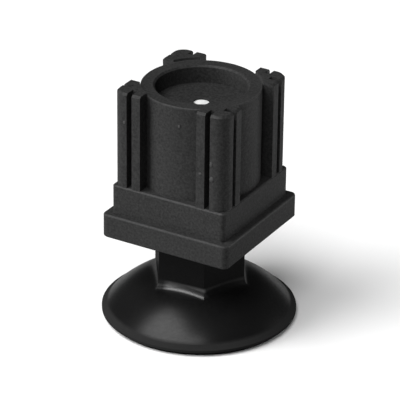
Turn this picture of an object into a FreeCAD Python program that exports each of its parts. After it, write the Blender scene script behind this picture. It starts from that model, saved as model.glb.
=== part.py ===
"""Adjustable cabinet leg: a square tube plug on a screw foot, built from one sheet of sizes (millimetres)."""
import math
import os

import FreeCAD
import Part
import Sketcher

doc = FreeCAD.newDocument("cabinet_leg")
sheet = doc.addObject("Spreadsheet::Sheet", "sizes")


class Size:
    """A number together with the sheet expression that gives it, so that sums of sizes stay driven."""

    def __init__(self, text, value):
        self.text, self.value = text, value

    def __add__(self, other):
        other = as_size(other)
        return Size(f"({self.text} + {other.text})", self.value + other.value)

    def __sub__(self, other):
        other = as_size(other)
        return Size(f"({self.text} - {other.text})", self.value - other.value)

    def __mul__(self, other):
        other = as_size(other)
        return Size(f"({self.text} * {other.text})", self.value * other.value)

    def __truediv__(self, other):
        other = as_size(other)
        return Size(f"({self.text} / {other.text})", self.value / other.value)

    def __neg__(self):
        return self * -1

    __radd__ = __add__
    __rmul__ = __mul__

    def __rsub__(self, other):
        return as_size(other) - self


def as_size(item):
    return item if isinstance(item, Size) else Size(repr(float(item)), float(item))


def root(item):
    return Size(f"sqrt({item.text})", math.sqrt(item.value))


rows = []


def size(alias, value, note):
    """Writes one driving size into the sheet and returns it."""
    rows.append(alias)
    row = len(rows)
    sheet.set(f"A{row}", note)
    sheet.set(f"B{row}", repr(value))
    sheet.setAlias(f"B{row}", alias)
    return Size(f"sizes.{alias}", float(value))


# Plug, from the ledge upwards
flange_side = size("flange_side", 40, "side of the square ledge, same as the tube outside")
flange_height = size("flange_height", 7.1, "height of the ledge")
flange_round = size("flange_round", 1.8, "upright corner radius of the ledge")
edge_round = size("edge_round", 0.6, "small rounding of the ledge top edge")
edge_bevel = size("edge_bevel", 0.4, "small bevel of the ledge bottom edge")
ledge_width = size("ledge_width", 2.1, "ledge that the tube end stands on, tube wall and a little play")
block_side = flange_side - 2 * ledge_width
block_height = size("block_height", 8.55, "height of the guide block")
block_round = size("block_round", 1.3, "upright corner radius of the guide block")
block_edge = size("block_edge", 0.35, "small bevel of the guide block top edge")
fin_inset = size("fin_inset", 0.2, "corner fins set back from the guide block")
fin_side = block_side - 2 * fin_inset
barrel_height = size("barrel_height", 27.6, "height of the barrel above the block")
fin_rise = size("fin_rise", 0.7, "height of the corner fins above the barrel")
post_width = size("post_width", 4.6, "corner post, from the corner to its slit")
slit_width = size("slit_width", 1.6, "slit beside the corner post")
slit_depth = size("slit_depth", 3.2, "slit depth from the face")
rib_width = size("rib_width", 2.65, "rib on the other side of the slit")
post_round = size("post_round", 3.6, "upright corner radius of the post")
lead_in = size("lead_in", 0.6, "bevel round the top of the fins")
rim_bevel = size("rim_bevel", 0.15, "small bevel round the top of the barrel")
rim_gap = size("rim_gap", 0.1, "raised fins kept clear of the barrel rim")
barrel_inset = size("barrel_inset", 1.0, "barrel set back from the faces of the fins")
barrel_width = fin_side - 2 * barrel_inset
cup_wall = size("cup_wall", 3.95, "wall of the barrel round the open recess in its top")
cup_width = barrel_width - 2 * cup_wall
cup_depth = size("cup_depth", 5.1, "depth of the recess")
cup_bevel = size("cup_bevel", 0.5, "bevel at the mouth of the recess")
web_thick = size("web_thick", 0.4, "web that closes the screw bore under the recess")
sight_hole = size("sight_hole", 4.4, "hole in the middle of the web")
# Screw and its bush
screw_width = size("screw_width", 10.9, "screw at half the depth of its thread")
thread_gap = size("thread_gap", 1.0, "room round the screw for its thread, in the plug and in the foot")
bore_width = screw_width + 2 * thread_gap
screw_gap = size("screw_gap", 0.15, "space left between the screw tip and the web")
screw_bevel = size("screw_bevel", 1.2, "bevel at the screw tip")
head_flats = size("head_flats", 18, "screw head across its flats")
head_height = size("head_height", 7.5, "height of the screw head")
head_gap = size("head_gap", 0.1, "gap round the screw head in its pocket")
head_lift = size("head_lift", 1.2, "height of the screw head above the floor")
bush_wall = size("bush_wall", 3, "wall of the threaded bush")
bush_width = screw_width + 2 * bush_wall
bush_length = size("bush_length", 14, "length of the threaded bush")
bush_inset = size("bush_inset", 0.6, "bush face below the ledge underside")
bush_bevel = size("bush_bevel", 0.5, "bevel on the bush ends")
turn_gap = size("turn_gap", 0.05, "radial running clearance of the bush, inside and outside")
# Foot
foot_width = size("foot_width", 55.2, "largest diameter of the foot")
tread_inset = size("tread_inset", 1.4, "standing ring set back from the largest diameter")
rim_low = size("rim_low", 1.3, "height where the rim reaches its full diameter")
rim_height = size("rim_height", 0.7, "upright part of the rim")
shoulder_inset = size("shoulder_inset", 1.5, "dome set back from the rim")
shoulder_rise = size("shoulder_rise", 1.1, "height from the rim to the dome")
dome_rise = size("dome_rise", 9.57, "height of the dome from its shoulder to its top, inside the neck")
dome_sink = size("dome_sink", 1.0, "how far the dome runs on inside the flats of the neck")
neck_flats = size("neck_flats", 24, "hexagon neck across its flats")
neck_height = size("neck_height", 26.45, "height of the top of the neck")
neck_gap = size("neck_gap", 0.3, "gap between neck and ledge when screwed right in")
neck_sweep = size("neck_sweep", 3.0, "hollow rounding between neck and dome")
ring_wall = size("ring_wall", 2.2, "width of the ring that stands on the floor")
sole_depth = size("sole_depth", 0.7, "height of the ring below the ribs")
hub_wall = size("hub_wall", 3.0, "wall of the hub round the corners of the screw head")
roof_low = size("roof_low", 1.9, "height of the hollow at the standing ring")
roof_rise = size("roof_rise", 3.6, "rise of the hollow from the ring to the hub")
RIBS = 8
RIB_ANGLE = 7.0
HEX_TURN = 5.5

doc.recompute()

# Heights that follow from the sizes
ledge_z = neck_height + neck_gap
block_z = ledge_z + flange_height
fin_z = block_z + block_height
top_z = fin_z + barrel_height
crest_z = top_z + fin_rise
floor_z = top_z - cup_depth
web_z = floor_z - web_thick
bush_z = ledge_z + bush_inset
head_z = head_lift + head_height
foot_r = foot_width / 2
tread_r = foot_r - tread_inset
sole_r = tread_r - ring_wall
rim_high = rim_low + rim_height
shoulder_z = rim_high + shoulder_rise
dome_z = shoulder_z + dome_rise
shoulder_r = foot_r - shoulder_inset
dome_top_r = neck_flats / 2 - dome_sink
dome_drop = (shoulder_r * shoulder_r - dome_top_r * dome_top_r - dome_rise * dome_rise) / (2 * dome_rise)
dome_arc = root(shoulder_r * shoulder_r + dome_drop * dome_drop)
hub_r = head_flats / math.sqrt(3) + head_gap + hub_wall


def plane(body, role):
    """The body's own origin plane or axis of that role."""
    return next(f for f in body.Origin.OriginFeatures if f.Role == role)


def sketch_on(body, label, role, lift=None):
    """An empty sketch on one of the body's origin planes, raised by a driven height."""
    sketch = body.newObject("Sketcher::SketchObject", label)
    sketch.AttachmentSupport = [(plane(body, role), "")]
    sketch.MapMode = "FlatFace"
    if lift is not None:
        sketch.setExpression("AttachmentOffset.Base.z", lift.text)
    return sketch


def drive(sketch, kind, *refs, by):
    """Adds one dimension to a sketch and ties it to its expression."""
    number = sketch.addConstraint(Sketcher.Constraint(kind, *refs, by.value))
    sketch.setExpression(f"Constraints[{number}]", by.text)


def outline(body, label, role, path, lift=None):
    """A closed outline of lines and arcs.

    A third item in a vertex is the radius of the arc that leaves it, positive for a left turn.
    """
    sketch = sketch_on(body, label, role, lift)
    path = [(as_size(v[0]), as_size(v[1]), as_size(v[2]) if len(v) > 2 else None) for v in path]
    ends = []
    for (x0, y0, bend), (x1, y1, _) in zip(path, path[1:] + path[:1]):
        a = FreeCAD.Vector(x0.value, y0.value, 0)
        b = FreeCAD.Vector(x1.value, y1.value, 0)
        if bend is None:
            number = sketch.addGeometry(Part.LineSegment(a, b))
            ends.append((number, 1, 2))
            continue
        r = abs(bend.value)
        side = FreeCAD.Vector(-(b - a).y, (b - a).x, 0).normalize()
        reach = math.sqrt(max(r * r - ((b - a).Length / 2) ** 2, 0.0))
        centre = (a + b) / 2 + side * (reach if bend.value > 0 else -reach)
        first, last = (a, b) if bend.value > 0 else (b, a)
        angles = [math.atan2(p.y - centre.y, p.x - centre.x) for p in (first, last)]
        circle = Part.Circle(centre, FreeCAD.Vector(0, 0, 1), r)
        number = sketch.addGeometry(Part.ArcOfCircle(circle, angles[0], angles[1]))
        ends.append((number, 1, 2) if bend.value > 0 else (number, 2, 1))
    for (g0, _, tail), (g1, head, _) in zip(ends, ends[1:] + ends[:1]):
        sketch.addConstraint(Sketcher.Constraint("Coincident", g0, tail, g1, head))
    for (x, y, bend), (g, head, _) in zip(path, ends):
        drive(sketch, "DistanceX", -1, 1, g, head, by=x)
        drive(sketch, "DistanceY", -1, 1, g, head, by=y)
        if bend is not None:
            drive(sketch, "Radius", g, by=bend if bend.value > 0 else -bend)
    return sketch


def disc(body, label, diameter, lift):
    sketch = sketch_on(body, label, "XY_Plane", lift)
    circle = Part.Circle(FreeCAD.Vector(0, 0, 0), FreeCAD.Vector(0, 0, 1), diameter.value / 2)
    number = sketch.addGeometry(circle)
    sketch.addConstraint(Sketcher.Constraint("Coincident", number, 3, -1, 1))
    drive(sketch, "Diameter", number, by=diameter)
    return sketch


def rounded_square(body, label, side, bend, lift):
    a = side / 2
    c = a - bend
    path = [(-c, -a), (c, -a, bend), (a, -c), (a, c, bend), (c, a), (-c, a, bend), (-a, c), (-a, -c, bend)]
    return outline(body, label, "XY_Plane", path, lift)


def hexagon(body, label, flats, lift):
    corner = flats / math.sqrt(3)
    angles = [math.radians(HEX_TURN + 60 * k) for k in range(6)]
    path = [(corner * math.cos(t), corner * math.sin(t)) for t in angles]
    return outline(body, label, "XY_Plane", path, lift)


def raise_from(body, label, sketch, height, cut=False):
    """A pad, or an upward pocket, of driven height."""
    feature = body.newObject("PartDesign::Pocket" if cut else "PartDesign::Pad", label)
    feature.Profile = sketch
    feature.setExpression("Length", height.text)
    feature.Reversed = cut
    sketch.Visibility = False
    return feature


def turn(body, label, sketch, cut=False, angle=360.0):
    feature = body.newObject("PartDesign::Groove" if cut else "PartDesign::Revolution", label)
    feature.Profile = sketch
    feature.ReferenceAxis = (sketch, ["V_Axis"])
    feature.Angle = angle
    sketch.Visibility = False
    return feature


def round_about(body, label, feature, count):
    pattern = body.newObject("PartDesign::PolarPattern", label)
    pattern.Originals = [feature]
    pattern.Axis = (plane(body, "Z_Axis"), [""])
    pattern.Angle = 360.0
    pattern.Occurrences = count
    body.Tip = pattern
    return pattern


def dress(body, kind, label, wanted, amount):
    """Rounds or bevels the edges of the body's last shape that a test picks out."""
    doc.recompute()
    base = body.Tip
    names = [f"Edge{i + 1}" for i, edge in enumerate(base.Shape.Edges) if wanted(edge)]
    feature = body.newObject(f"PartDesign::{kind}", label)
    feature.Base = (base, names)
    feature.setExpression("Radius" if kind == "Fillet" else "Size", amount.text)
    body.Tip = feature
    doc.recompute()
    return feature


def level(edge, z):
    box = edge.BoundBox
    return abs(box.ZMin - z) < 1e-4 and abs(box.ZMax - z) < 1e-4


def reach(edge):
    """How far an edge's middle lies from the axis, measured square to the faces."""
    middle = edge.valueAt((edge.FirstParameter + edge.LastParameter) / 2)
    return max(abs(middle.x), abs(middle.y))


def body_called(label):
    body = doc.addObject("PartDesign::Body", label)
    body.Label = label
    return body


# Tube plug: ledge, guide block, barrel and four slit corners, bored from below and recessed from above
plug = body_called("tube_plug")
ledge_outline = rounded_square(plug, "ledge_outline", flange_side, flange_round, ledge_z)
raise_from(plug, "ledge", ledge_outline, flange_height)
block_outline = rounded_square(plug, "block_outline", block_side, block_round, block_z)
raise_from(plug, "guide_block", block_outline, block_height)
doc.recompute()
half_ledge, half_block = flange_side.value / 2, block_side.value / 2


def on_ledge_top(edge):
    return level(edge, block_z.value) and reach(edge) > half_ledge - flange_round.value


def on_ledge_bottom(edge):
    return level(edge, ledge_z.value)


def on_block_rim(edge):
    return level(edge, fin_z.value) and reach(edge) > half_block - block_round.value


def on_fin_top(edge):
    """Outer top edges of the corner fins: both ends lie on the outer faces."""
    ends = [max(abs(v.X), abs(v.Y)) for v in edge.Vertexes]
    return level(edge, crest_z.value) and all(abs(end - fin_side.value / 2) < 0.01 for end in ends)


def on_rim_top(edge):
    """Outer top edge of the barrel."""
    return level(edge, top_z.value)


dress(plug, "Fillet", "ledge_top", on_ledge_top, edge_round)
dress(plug, "Chamfer", "ledge_bottom", on_ledge_bottom, edge_bevel)
dress(plug, "Chamfer", "block_edges", on_block_rim, block_edge)
raise_from(plug, "barrel", disc(plug, "barrel_outline", barrel_width, fin_z), barrel_height)
dress(plug, "Chamfer", "rim_edge", on_rim_top, rim_bevel)
half = fin_side / 2
post = half - post_width
slit = post - slit_width
rib = slit - rib_width
deep = half - slit_depth
bend = half - post_round
corner_path = [
    (rib, rib), (half, rib), (half, slit), (deep, slit), (deep, post), (half, post), (half, bend, post_round),
    (bend, half), (post, half), (post, deep), (slit, deep), (slit, half), (rib, half),
]
corner_outline = outline(plug, "corner_outline", "XY_Plane", corner_path, fin_z - block_edge)
corner = raise_from(plug, "corner", corner_outline, block_edge + barrel_height + fin_rise)
doc.recompute()
round_about(plug, "corners", corner, 4)
dress(plug, "Chamfer", "fin_bevel", on_fin_top, lead_in)
bore_path = [
    (0, ledge_z - 1), (bush_width / 2 + turn_gap, ledge_z - 1),
    (bush_width / 2 + turn_gap, bush_z + bush_length), (bore_width / 2, bush_z + bush_length),
    (bore_width / 2, web_z), (sight_hole / 2, web_z), (sight_hole / 2, floor_z), (cup_width / 2, floor_z),
    (cup_width / 2, top_z - cup_bevel), (cup_width / 2 + cup_bevel, top_z),
    (barrel_width / 2 + rim_gap, top_z), (barrel_width / 2 + rim_gap, crest_z + 1), (0, crest_z + 1),
]
turn(plug, "bores", outline(plug, "bore_outline", "XZ_Plane", bore_path), cut=True)

# Foot: domed base with a sweep into the hexagon neck, standing on a ring, ribbed underneath
foot = body_called("foot_base")
dome_path = [
    (0, sole_depth), (sole_r, sole_depth), (sole_r, 0), (tread_r, 0), (foot_r, rim_low), (foot_r, rim_high),
    (shoulder_r, shoulder_z, dome_arc), (dome_top_r, dome_z), (0, dome_z),
]
turn(foot, "dome", outline(foot, "dome_outline", "XZ_Plane", dome_path))
raise_from(foot, "neck", hexagon(foot, "neck_outline", neck_flats, shoulder_z), neck_height - shoulder_z)


def at_neck_root(edge):
    """Edges where the flats of the neck meet the dome."""
    box = edge.BoundBox
    middle = edge.valueAt((edge.FirstParameter + edge.LastParameter) / 2)
    across = abs(math.hypot(middle.x, middle.y) - neck_flats.value / 2) < 0.05
    return across and box.ZMax < neck_height.value - 1 and box.ZMin > shoulder_z.value


dress(foot, "Fillet", "neck_root", at_neck_root, neck_sweep)
bore_r = bore_width / 2
bore_foot = [(0, -1), (bore_r, -1), (bore_r, neck_height + 1), (0, neck_height + 1)]
turn(foot, "shank_bore", outline(foot, "shank_outline", "XZ_Plane", bore_foot), cut=True)
pocket_outline = hexagon(foot, "pocket_outline", head_flats + 2 * head_gap, as_size(0.0))
raise_from(foot, "head_pocket", pocket_outline, head_z, cut=True)
hollow_path = [(hub_r, 0), (sole_r, 0), (sole_r, roof_low), (hub_r, roof_low + roof_rise)]
hollow_outline = outline(foot, "hollow_outline", "XZ_Plane", hollow_path)
hollow = turn(foot, "hollow", hollow_outline, cut=True, angle=360.0 / RIBS - RIB_ANGLE)
doc.recompute()
round_about(foot, "hollows", hollow, RIBS)

# Screw: hexagon head held in the foot, plain shank at half thread depth, bevelled tip
screw = body_called("screw")
tip_z = web_z - screw_gap
screw_r = screw_width / 2
shank_path = [
    (0, head_lift), (screw_r, head_lift), (screw_r, tip_z - screw_bevel),
    (screw_r - screw_bevel, tip_z), (0, tip_z),
]
turn(screw, "shank", outline(screw, "shank_outline", "XZ_Plane", shank_path))
raise_from(screw, "head", hexagon(screw, "head_outline", head_flats, head_lift), head_height)

# Threaded bush in the foot of the plug
bush = body_called("threaded_bush")
bush_in, bush_out, bush_top = screw_r + turn_gap, bush_width / 2, bush_z + bush_length
bush_path = [
    (bush_in + bush_bevel, bush_z), (bush_out - bush_bevel, bush_z), (bush_out, bush_z + bush_bevel),
    (bush_out, bush_top), (bush_in, bush_top), (bush_in, bush_z + bush_bevel),
]
turn(bush, "ring", outline(bush, "ring_outline", "XZ_Plane", bush_path))

doc.recompute()
os.makedirs("parts", exist_ok=True)
for item in doc.Objects:
    if "Invalid" in item.State or "Error" in item.State:
        raise RuntimeError(f"{item.Label} did not recompute: {item.State}")
for body in (plug, foot, screw, bush):
    shape = body.Shape
    if shape.isNull() or not shape.isValid() or len(shape.Solids) != 1:
        raise RuntimeError(f"{body.Label} is not one valid solid")
    shape.exportStep(f"parts/{body.Label}.step")
    box = shape.BoundBox
    extent = [round(v, 2) for v in (box.XLength, box.YLength, box.ZLength)]
    print(body.Label, "volume", round(shape.Volume, 1), "size", extent)
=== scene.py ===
# %% [markdown]
# # A levelling leg for a square tube
# A cabinet or bench often stands on square tubes, and this part is pushed into the end of one. It has a
# black moulded plug with slit corners, a steel screw, and a domed foot that is turned by its hexagon neck
# to level the furniture. The solids come ready from the CAD model, in metres and in their places, so this
# lesson adds a camera, light, finishes and the fine forms that are better made here, such as the thread.

# %% Load the solids
import math
import bpy
import numpy as np
from mathutils import Matrix, Vector


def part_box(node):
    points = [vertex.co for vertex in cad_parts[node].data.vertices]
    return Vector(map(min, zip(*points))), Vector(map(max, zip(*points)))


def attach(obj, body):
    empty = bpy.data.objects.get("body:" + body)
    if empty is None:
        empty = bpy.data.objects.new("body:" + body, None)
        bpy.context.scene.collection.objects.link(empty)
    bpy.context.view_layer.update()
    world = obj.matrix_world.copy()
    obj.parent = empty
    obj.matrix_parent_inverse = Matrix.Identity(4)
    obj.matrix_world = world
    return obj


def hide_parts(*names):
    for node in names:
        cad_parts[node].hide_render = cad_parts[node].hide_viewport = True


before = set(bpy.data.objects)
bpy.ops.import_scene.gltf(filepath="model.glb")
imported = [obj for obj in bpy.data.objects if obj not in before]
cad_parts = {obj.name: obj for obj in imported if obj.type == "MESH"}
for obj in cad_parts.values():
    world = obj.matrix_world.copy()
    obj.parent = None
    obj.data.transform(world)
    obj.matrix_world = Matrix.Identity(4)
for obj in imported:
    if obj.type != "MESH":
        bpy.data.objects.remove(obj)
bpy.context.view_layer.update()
scene = bpy.context.scene
scene.view_settings.view_transform = "Standard"

# %% [markdown]
# ## The camera
# The picture looks down at the leg from its front right, from far off with a long lens, so upright lines
# stay almost parallel. A camera could be turned by hand until it looks right. Here its numbers come from
# matching the corners of the square ledge and the ring of the barrel: a bearing, a height angle, a slight
# roll, a distance and a focal length. It aims a little below the leg's middle.

# %% Place the camera
BEARING, HEIGHT_ANGLE, ROLL = (math.radians(degrees) for degrees in (30.24, 26.44, 0.65))
DISTANCE, FOCAL_PIXELS, PICTURE_PIXELS = 0.75467, 2709.6, 400.0
AIM_RIGHT_PIXELS, AIM_UP_PIXELS = -0.23, -4.15
LEG_MIDDLE = Vector((0.0, 0.0, 0.036))
SENSOR_WIDTH = 36.0


def bearing_vector(bearing, rise):
    """The way out from the leg: bearing round from the front, positive to the right, and rise upwards."""
    level = math.cos(rise)
    return Vector((math.sin(bearing) * level, -math.cos(bearing) * level, math.sin(rise)))


back = bearing_vector(BEARING, HEIGHT_ANGLE)
right = Vector((math.cos(BEARING), math.sin(BEARING), 0.0))
up = back.cross(right)
rolled_right = math.cos(ROLL) * right + math.sin(ROLL) * up
rolled_up = math.cos(ROLL) * up - math.sin(ROLL) * right
pixel = DISTANCE / FOCAL_PIXELS
aim = LEG_MIDDLE + AIM_RIGHT_PIXELS * pixel * rolled_right + AIM_UP_PIXELS * pixel * rolled_up
lens = bpy.data.cameras.new("camera")
lens.sensor_width = SENSOR_WIDTH
lens.lens = FOCAL_PIXELS * SENSOR_WIDTH / PICTURE_PIXELS
camera = bpy.data.objects.new("camera", lens)
turned = Matrix((rolled_right, rolled_up, back)).transposed().to_4x4()
camera.matrix_world = Matrix.Translation(aim + DISTANCE * back) @ turned
scene.collection.objects.link(camera)
scene.camera = camera
print("lens", round(lens.lens, 1), "mm, camera at", [round(v, 3) for v in camera.matrix_world.translation])

# %% [markdown]
# ## Shader arithmetic
# A finish is a small graph of nodes. Written by hand, every sum or product takes four lines, so one class
# wraps a socket and lets Python's own operators add the Math nodes. Everything else goes through one
# method that takes a node's type, its settings and what its sockets get.


# %% A socket that can be reckoned with
class Wire:
    """One output socket; +, - and * with numbers or other wires add Math nodes to its graph."""

    def __init__(self, finish, socket):
        self.finish, self.socket = finish, socket

    def _with(self, operation, first, second):
        return self.finish.node("ShaderNodeMath", {"operation": operation}, {0: first, 1: second})

    def __add__(self, other):
        return self._with("ADD", self, other)

    def __sub__(self, other):
        return self._with("SUBTRACT", self, other)

    def __rsub__(self, other):
        return self._with("SUBTRACT", other, self)

    def __mul__(self, other):
        return self._with("MULTIPLY", self, other)

    __radd__ = __add__
    __rmul__ = __mul__


print("wires add, subtract and multiply")


# %% A finish and its nodes
class Finish:
    """A material being written: its Principled shader, and the wires that feed it."""

    def __init__(self, name, **plain):
        self.material = bpy.data.materials.new(name)
        self.material.use_nodes = True
        self.nodes, self.links = self.material.node_tree.nodes, self.material.node_tree.links
        self.shader = self.nodes["Principled BSDF"]
        for socket, value in plain.items():
            self.shader.inputs[socket.replace("_", " ")].default_value = value

    def node(self, kind, settings=None, sockets=None, output=0):
        """Adds one node: settings first, then each socket's value or wire, and returns one output."""
        made = self.nodes.new(kind)
        for key, value in (settings or {}).items():
            setattr(made, key, value)
        for key, value in (sockets or {}).items():
            if isinstance(value, Wire):
                self.links.new(value.socket, made.inputs[key])
            else:
                made.inputs[key].default_value = value
        return Wire(self, made.outputs[output])

    def feed(self, socket, wire):
        """Leads a wire into one socket of the shader."""
        self.links.new(wire.socket, self.shader.inputs[socket])

    def place(self, stretch=(1.0, 1.0, 1.0)):
        """Object coordinates, scaled along the axes; a small number draws a pattern out along its axis."""
        at = self.node("ShaderNodeTexCoord", output="Object")
        return self.node("ShaderNodeMapping", {}, {"Vector": at, "Scale": stretch})

    def along(self, axis):
        """Distance along one axis of the part, in metres; along Z it is the height above the floor."""
        return self.node("ShaderNodeSeparateXYZ", {}, {"Vector": self.place()}, axis)

    def noise(self, scale, detail=2.0, rough=0.5, stretch=(1.0, 1.0, 1.0)):
        """Smooth noise around 0.5; its spots are about one metre over the scale across."""
        sockets = {"Vector": self.place(stretch), "Scale": scale, "Detail": detail, "Roughness": rough}
        return self.node("ShaderNodeTexNoise", {}, sockets)

    def band(self, wire, low, high):
        """0 below low, 1 above high, straight between."""
        sockets = {"Value": wire, "From Min": low, "From Max": high}
        return self.node("ShaderNodeMapRange", {"clamp": True}, sockets)

    def blend(self, factor, first, second):
        """From the first colour at 0 to the second at 1; a colour is a wire or three numbers."""
        first, second = (c if isinstance(c, Wire) else (*c, 1.0) for c in (first, second))
        return self.node("ShaderNodeMix", {"data_type": "RGBA"}, {0: factor, 6: first, 7: second}, 2)

    def relief(self, height, depth):
        """Bumps the surface by a wire from 0 to 1, times the depth in metres."""
        sockets = {"Height": height, "Distance": depth, "Strength": 1.0}
        self.feed("Normal", self.node("ShaderNodeBump", {}, sockets))


def grey(level):
    """A colour with the same red, green and blue."""
    return (level, level, level)


print("finishes are written with Wire and Finish")

# %% [markdown]
# ## The floor
# Black plastic has almost no colour of its own: what we see is what it reflects, so the light matters more
# than the paint. A floor that is white for everything would throw a lot of light up at the leg and turn it
# grey. So this one has two colours, and Light Path nodes choose between them: white where the camera or a
# reflection sees it, and dark for the light that it throws back. The leg's shadow falls on it all the same.

# %% White floor
FLOOR_REACH = 3.0
FLOOR_SEEN, FLOOR_THROWN_BACK = grey(0.97), grey(0.16)
floor_finish = Finish("white_floor", Roughness=0.9, Specular_IOR_Level=0.0)
camera_ray, glossy_ray, clear_ray = (
    floor_finish.node("ShaderNodeLightPath", output=f"Is {kind} Ray")
    for kind in ("Camera", "Glossy", "Transmission"))
seen = camera_ray + glossy_ray + clear_ray
floor_finish.feed("Base Color", floor_finish.blend(seen, FLOOR_THROWN_BACK, FLOOR_SEEN))
floor_mesh = bpy.data.meshes.new("floor")
corners = [(x * FLOOR_REACH, y * FLOOR_REACH, 0) for x, y in ((-1, -1), (1, -1), (1, 1), (-1, 1))]
floor_mesh.from_pydata(corners, [], [(0, 1, 2, 3)])
floor_mesh.materials.append(floor_finish.material)
floor = bpy.data.objects.new("floor", floor_mesh)
scene.collection.objects.link(floor)
print("floor", 2 * FLOOR_REACH, "m square")

# %% [markdown]
# ## The light
# A black object is lit with a few large soft lamps, because each shows on it as a glow, and a larger lamp
# gives a softer glow and a softer shadow. One lamp alone would leave half of the leg black. Here the key
# lamp stands high on the left, a low lamp under it lights the upright faces, and a lamp in front carries
# the glow round the dome. A small one near the floor, close by at the right and behind, lifts the right
# faces. The camera doesn't see the lamps, and a weak pale sky fills what they leave.

# %% Four soft lamps and a pale sky
# Bearing from the front and rise in degrees, distance and width in metres, power in watts.
LAMPS = {
    "key": (-38.0, 57.0, 3.0, 1.7, 69.0),
    "low_left": (-46.0, 12.0, 3.0, 1.8, 88.0),
    "front": (15.0, 52.0, 3.0, 1.3, 33.0),
    "near_right": (130.0, 2.0, 0.26, 0.08, 0.26),
}
SKY_STRENGTH = 0.09
for name, (bearing, rise, distance, width, power) in LAMPS.items():
    way = bearing_vector(math.radians(bearing), math.radians(rise))
    light = bpy.data.lights.new(name, "AREA")
    light.shape, light.size, light.energy = "SQUARE", width, power
    lamp = bpy.data.objects.new(name, light)
    lamp.visible_camera = False
    lamp.location = LEG_MIDDLE + distance * way
    lamp.rotation_euler = way.to_track_quat("Z", "Y").to_euler()
    scene.collection.objects.link(lamp)
sky = bpy.data.worlds.new("pale_sky")
sky.use_nodes = True
sky_sockets = sky.node_tree.nodes["Background"].inputs
sky_sockets["Color"].default_value = (1.0, 1.0, 1.0, 1.0)
sky_sockets["Strength"].default_value = SKY_STRENGTH
scene.world = sky
print("lamps:", ", ".join(LAMPS), "and a sky of", SKY_STRENGTH)

# %% [markdown]
# ## Moulded plastic
# The plug and the foot are injection moulded from black plastic. Real black plastic isn't one flat black:
# the flow of the melt leaves faint clouds, handling rubs paler streaks into it, dust settles in specks and
# the pigment has a fine speckle. These could be drawn on a picture and wrapped round. Here each is one
# noise on the object's own coordinates, cut to a mask from 0 to 1, which has no seam and the same size all
# over. Both finishes below share the four masks.

# %% Marks that both plastics share
UPRIGHT_STREAKS = (1.0, 1.0, 0.15)


def plastic_marks(finish):
    """Masks for flow clouds, upright rubbing streaks, dust specks and the speckle of the pigment."""
    cloud = finish.band(finish.noise(70.0, detail=3.0), 0.35, 0.65)
    rubbed = finish.band(finish.noise(900.0, rough=0.6, stretch=UPRIGHT_STREAKS), 0.62, 0.78)
    dust = finish.band(finish.noise(2600.0, detail=1.0), 0.74, 0.80)
    speckle = finish.band(finish.noise(1500.0, rough=0.7), 0.3, 0.7)
    return cloud, rubbed, dust, speckle


def paint(piece, material):
    """Gives a solid from the CAD model one material in place of its own."""
    piece.data.materials.clear()
    piece.data.materials.append(material)


print("masks for clouds, streaks, dust and speckle")

# %% [markdown]
# ### The plug
# The plug comes from a mould with a rough skin, so it is matt, with a fine even grain that a Bump node
# gives. Its upper edges are painted paler, as a painted highlight where their rounding catches the light.
# Such edges could be found from the sharpness of the mesh, but the solids come as loose triangles, so an
# edge is described as where two distances meet: a reach from the axis and a height. The ledge and the
# block are square, so their reach is the larger of |x| and |y|.

# %% Painted highlights on the edges
# How far inside an edge its painted highlight starts and is full, and how far outside it fades, in metres.
HIGHLIGHT_STARTS, HIGHLIGHT_FULL = 0.0006, 0.0003
FADE_STARTS, FADE_ENDS = 0.0001, 0.0002


def painted_edge_highlight(finish, reach, far, level, above=0.0002):
    """A painted highlight: 1 where the reach from the axis nears far, from just under a top face's level to
    a bit above it.
    """
    height = finish.along("Z")
    within = finish.band(reach, far - HIGHLIGHT_STARTS, far - HIGHLIGHT_FULL)
    beyond = finish.band(reach, far + FADE_STARTS, far + FADE_ENDS)
    raised = finish.band(height, level - HIGHLIGHT_STARTS, level - HIGHLIGHT_FULL)
    over = finish.band(height, level, level + above)
    return within * (1.0 - beyond) * raised * (1.0 - over)


def square_reach(finish):
    """The larger of |x| and |y|, the same all along the sides of a square."""
    size_only = {"operation": "ABSOLUTE"}
    x, y = (finish.node("ShaderNodeMath", size_only, {0: finish.along(axis)}) for axis in "XY")
    return finish.node("ShaderNodeMath", {"operation": "MAXIMUM"}, {0: x, 1: y})


def round_reach(finish):
    """Distance from the axis: the length of (x, y, 0)."""
    level_place = finish.place(stretch=(1.0, 1.0, 0.0))
    return finish.node("ShaderNodeVectorMath", {"operation": "LENGTH"}, {0: level_place}, "Value")


# The print gives how far the painted highlight reaches in from an edge.
print("wear reaches", round(HIGHLIGHT_STARTS * 1000, 2), "mm in from an edge")

# %% Matt black plug
LEDGE_HALF, LEDGE_TOP = 0.020, 0.03385
BLOCK_HALF, BLOCK_TOP = 0.0179, 0.0424
# The barrel's last number is how far its painted highlight reaches above the barrel's top, up the fins'
# inner faces, where it paints out a line that lies in shade.
BARREL_RADIUS, BARREL_TOP, BARREL_HIGHLIGHT_ABOVE = 0.0168, 0.0700, 0.0012
PLUG_GRAIN, PLUG_GRAIN_DEPTH = 3200.0, 0.00002
plug_black = Finish("plug_black", Specular_IOR_Level=0.0, Coat_Roughness=0.4)
cloud, rubbed, dust, speckle = plastic_marks(plug_black)
square, ring = square_reach(plug_black), round_reach(plug_black)
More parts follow.
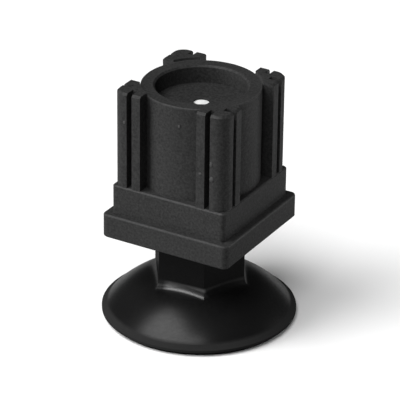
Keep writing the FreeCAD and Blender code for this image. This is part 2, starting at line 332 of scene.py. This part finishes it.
# Painted highlights: the top edges of the ledge, the block and the barrel are painted paler in the base
# colour.
ledge_highlight = painted_edge_highlight(plug_black, square, LEDGE_HALF, LEDGE_TOP)
block_highlight = painted_edge_highlight(plug_black, square, BLOCK_HALF, BLOCK_TOP)
barrel_highlight = painted_edge_highlight(plug_black, ring, BARREL_RADIUS, BARREL_TOP, BARREL_HIGHLIGHT_ABOVE)
painted_highlights = ledge_highlight + block_highlight + barrel_highlight
shade = cloud * 0.15 + rubbed * 0.12 + dust * 0.4 + speckle * 0.7 + painted_highlights * 0.4
plug_black.feed("Base Color", plug_black.blend(shade, grey(0.017), grey(0.047)))
plug_black.feed("Coat Weight", 0.16 - 0.04 * cloud + 0.03 * rubbed)
plug_black.relief(plug_black.noise(PLUG_GRAIN, rough=0.6), PLUG_GRAIN_DEPTH)
paint(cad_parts["tube_plug"], plug_black.material)
print("plug painted, grain of", round(1000 / PLUG_GRAIN, 2), "mm")

# %% [markdown]
# ### The foot
# The dome is smoother and blacker than the plug, so it shows a broad glow of the lamps. It isn't the same
# all over: the rim is matt because it gets scraped along the floor, the upper dome is scuffed, the neck is
# dull from the spanner, and a slipped spanner has polished the root of one flat. Each place could be a
# material of its own, with a hard border. Here the height above the floor blends one into the next, and
# the clear coat carries the gloss.

# %% Where the foot is matt, scuffed, dull or polished
RIM_HEIGHT, ROOT_HEIGHT, NECK_HEIGHT, NECK_FADE = 0.0031, 0.0114, 0.0138, 0.0004
SCUFF_STARTS, SCUFF_FULL = 0.0075, 0.0105
HEX_TURN = math.radians(5.5)
foot_black = Finish("foot_black", Specular_IOR_Level=0.0, Coat_Roughness=0.28)
height = foot_black.along("Z")
rim = 1.0 - foot_black.band(height, RIM_HEIGHT - 0.0002, RIM_HEIGHT + 0.0006)
scuffed = foot_black.band(height, SCUFF_STARTS, SCUFF_FULL)
neck = foot_black.band(height, NECK_HEIGHT - NECK_FADE, NECK_HEIGHT + NECK_FADE)
root = foot_black.band(height, ROOT_HEIGHT - NECK_FADE, ROOT_HEIGHT + NECK_FADE) * (1.0 - neck)
x, y = foot_black.along("X"), foot_black.along("Y")
off_flat = x * math.sin(HEX_TURN) - y * math.cos(HEX_TURN)
along_flat = x * math.cos(HEX_TURN) + y * math.sin(HEX_TURN)
polished = foot_black.band(off_flat, 0.0113, 0.0120) * foot_black.band(along_flat, -0.0055, -0.0035)
print("rim up to", RIM_HEIGHT * 1000, "mm, root from", ROOT_HEIGHT * 1000, "mm")

# %% Glossy black foot
FOOT_GRAIN, FOOT_GRAIN_DEPTH = 2400.0, 0.000006
cloud, rubbed, dust, speckle = plastic_marks(foot_black)
shade = cloud * 0.1 + rubbed * 0.1 + dust * 0.2 + speckle * 0.2 + rim * 0.85
foot_black.feed("Base Color", foot_black.blend(shade, (0.0025, 0.0025, 0.0026), grey(0.022)))
gloss = 0.48 - 0.06 * cloud - 0.16 * speckle
worn_gloss = gloss * (1.0 - rim) * (1.0 - 0.45 * scuffed) * (1.0 - 0.6 * neck)
foot_black.feed("Coat Weight", worn_gloss + root * polished)
foot_black.relief(foot_black.noise(FOOT_GRAIN, rough=0.6), FOOT_GRAIN_DEPTH)
paint(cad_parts["foot_base"], foot_black.material)
print("foot painted, grain of", round(1000 / FOOT_GRAIN, 2), "mm")

# %% [markdown]
# ## The steel screw
# The screw is bright zinc on steel, with a 12 mm thread of 1.75 mm pitch. The CAD solid is a plain rod at
# half the depth of the thread. A profile could be swept along a helix, but its overlaps at the root are
# hard to close. Here the thread is a surface of two parameters, the angle and the height: the radius goes
# up and down with the height, and the whole pattern climbs one pitch in each turn. A right-hand thread
# climbs to the right on the side that faces us, which is counter-clockwise seen from above.


# %% Grid surfaces
def grid_faces(rows, columns):
    """Quads of a grid that closes round in its columns, each row above the last, facing outwards."""
    low = np.arange((rows - 1) * columns).reshape(rows - 1, columns)
    near = np.roll(low, -1, axis=1)
    return np.stack([low, near, near + columns, low + columns], axis=-1).reshape(-1, 4)


def lathe_piece(name, x, y, z, material, body):
    """A mesh from grids of x, y and z, rows upwards by columns round; fans to their means close the ends."""
    rows, columns = x.shape
    end_means = [[grid[end].mean() for grid in (x, y, z)] for end in (0, -1)]
    points = np.vstack([np.stack([x, y, z], axis=-1).reshape(-1, 3), end_means])
    low_mean, high_mean = rows * columns, rows * columns + 1
    ring = np.arange(columns)
    onward = np.roll(ring, -1)
    top = (rows - 1) * columns
    low_fan = np.stack([onward, ring, np.full(columns, low_mean)], axis=-1)
    high_fan = np.stack([ring + top, onward + top, np.full(columns, high_mean)], axis=-1)
    faces = grid_faces(rows, columns).tolist() + low_fan.tolist() + high_fan.tolist()
    mesh = bpy.data.meshes.new(name)
    mesh.from_pydata(points.tolist(), [], faces)
    mesh.materials.append(material)
    piece = bpy.data.objects.new(name, mesh)
    scene.collection.objects.link(piece)
    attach(piece, body)
    return piece


def angles(count):
    """Angles evenly round a turn, the last one step short of the first."""
    return np.linspace(0.0, 2 * np.pi, count, endpoint=False)


print("a grid of 3 by 4 has", len(grid_faces(3, 4)), "quads")

# %% Zinc, bright on the thread and dull on the cut end, with painted shade on the cut end's near side
screw_low, screw_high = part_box("screw")
SCREW_FOOT, SCREW_TIP = screw_low[2], screw_high[2]
BRUSHED_UPRIGHT = (1.0, 1.0, 0.2)
zinc = Finish("bright_zinc")
blotch = zinc.band(zinc.noise(350.0, detail=3.0), 0.35, 0.65)
cut_end = zinc.band(zinc.along("Z"), SCREW_TIP - 0.0003, SCREW_TIP - 0.0001)
# Painted shade: the part of the cut end more than about a millimetre towards the camera, where the hole
# above it shades it, is painted dark grey.
painted_shade_near_side = cut_end * zinc.band(zinc.along("X") * 0.5 - zinc.along("Y") * 0.87, 0.0006, 0.0012)
plated = zinc.blend(blotch * 0.6 + cut_end * 0.5, (0.66, 0.67, 0.68), (0.95, 0.95, 0.94))
zinc.feed("Base Color", zinc.blend(painted_shade_near_side, plated, grey(0.03)))
zinc.feed("Metallic", 1.0 - 0.9 * cut_end)
zinc.feed("Roughness", 0.22 + 0.16 * blotch + 0.4 * cut_end)
zinc.relief(zinc.noise(2500.0, rough=0.6, stretch=BRUSHED_UPRIGHT), 0.000006)
print("screw from", round(SCREW_FOOT * 1000, 2), "to", round(SCREW_TIP * 1000, 2), "mm")

# %% Thread
PITCH, CREST, ROOT, TIP_RADIUS = 0.00175, 0.00594, 0.00497, 0.0042
ROOT_FLAT, FLANK = 0.08, 0.78
HEAD_TOP = SCREW_FOOT + 0.0075
SUNK = 0.001
THREAD_ROWS, THREAD_COLUMNS = 420, 64
heights = np.linspace(HEAD_TOP - SUNK, SCREW_TIP, THREAD_ROWS)
angle, height = np.meshgrid(angles(THREAD_COLUMNS), heights)
wave = np.abs(2 * ((height / PITCH - angle / (2 * np.pi)) % 1.0) - 1)
thread = ROOT + (CREST - ROOT) * np.clip((wave - ROOT_FLAT) / FLANK, 0, 1)
tip_cone = TIP_RADIUS + (SCREW_TIP - height)
radius = np.minimum(thread, tip_cone)
x, y = radius * np.cos(angle), radius * np.sin(angle)
shank = lathe_piece("screw_thread", x, y, height, zinc.material, "foot")
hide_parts("screw")
print("thread", len(shank.data.polygons), "faces")

# %% [markdown]
# ### The screw's head
# The head is a hexagon whose lower corners are turned off to a cone. It could be cut with a boolean. As a
# surface it is simpler: at each angle and height the radius is the smaller of the hexagon's and the cone's.

# %% Head
HEAD_FLATS = 0.018
CONE_HEIGHT, CONE_RADIUS, CONE_SLOPE = 0.0014, 0.0083, 1.9
CONE_ROWS, HEAD_COLUMNS = 11, 192


def hexagon_radius(angle, flats, turn):
    """Distance to a hexagon's side: half the flats over the cosine of the angle to the nearest flat."""
    off = (angle - turn) % (math.pi / 3) - math.pi / 6
    return 0.5 * flats / np.cos(off)


cone_heights = np.linspace(SCREW_FOOT, SCREW_FOOT + CONE_HEIGHT, CONE_ROWS)
angle, height = np.meshgrid(angles(HEAD_COLUMNS), np.append(cone_heights, HEAD_TOP))
corner_cone = CONE_RADIUS + (height - SCREW_FOOT) * CONE_SLOPE
radius = np.minimum(hexagon_radius(angle, HEAD_FLATS, HEX_TURN), corner_cone)
x, y = radius * np.cos(angle), radius * np.sin(angle)
head = lathe_piece("screw_head", x, y, height, zinc.material, "foot")
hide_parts("screw")
print("head", len(head.data.polygons), "faces")

# %% [markdown]
# ## Flash on the plug
# Where parts of the mould meet, a little plastic squeezes out and tears off, and leaves small pale beads,
# most of them beside the front slit. A bump in the finish would vanish seen from the side, so each bead is
# a small ellipsoid half sunk into its face: a sphere from two angles, times three radii.

# %% Beads of flash
# The middle and the three radii of each bead, in millimetres.
BEADS = [
    ((13.6, -17.7, 56.3), (0.45, 0.2, 0.8)),
    ((13.8, -17.7, 51.9), (0.7, 0.3, 0.8)),
    ((10.2, -17.7, 52.7), (0.5, 0.15, 0.4)),
    ((2.8, -16.5, 64.4), (0.35, 0.15, 0.4)),
    ((-13.8, -17.7, 62.1), (0.4, 0.15, 0.5)),
]
BEAD_ROWS, BEAD_COLUMNS, HIGHEST_SLANT = 11, 18, 0.45 * np.pi
flash = Finish("plug_flash", Specular_IOR_Level=0.1)
flash.feed("Base Color", flash.blend(flash.noise(1500.0), grey(0.036), grey(0.07)))
flash.feed("Roughness", 0.5 + 0.2 * flash.noise(900.0))
slants = np.linspace(-HIGHEST_SLANT, HIGHEST_SLANT, BEAD_ROWS)
angle, slant = np.meshgrid(angles(BEAD_COLUMNS), slants)
ball = np.stack([np.cos(slant) * np.cos(angle), np.cos(slant) * np.sin(angle), np.sin(slant)], axis=-1)
for number, (middle, radii) in enumerate(BEADS, 1):
    x, y, z = np.moveaxis((np.array(middle) + ball * np.array(radii)) / 1000.0, -1, 0)
    lathe_piece(f"flash_bead_{number}", x, y, z, flash.material, "plug")
print(len(BEADS), "beads of flash")

# %% [markdown]
# ## The brass bush
# The plug's thread is cut in a brass bush. Only its lower face shows, in the plug's underside, so its solid
# stays as it is. Grooves could be modelled, but a lathe tool leaves them too fine for that, so rings round
# the axis change only the roughness.

# %% Brass
RINGS_SCALE = 900.0
brass = Finish("turned_brass", Metallic=1.0)
tool_marks = {"wave_type": "RINGS", "rings_direction": "Z"}
rings = brass.node("ShaderNodeTexWave", tool_marks, {"Vector": brass.place(), "Scale": RINGS_SCALE})
brass.feed("Base Color", brass.blend(brass.noise(300.0), (0.62, 0.42, 0.16), (0.78, 0.57, 0.25)))
brass.feed("Roughness", 0.28 + 0.12 * rings)
paint(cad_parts["threaded_bush"], brass.material)
print("bush painted, rings at a scale of", RINGS_SCALE)

# %% [markdown]
# ## Last step

# %% Update the view layer
bpy.context.view_layer.update()
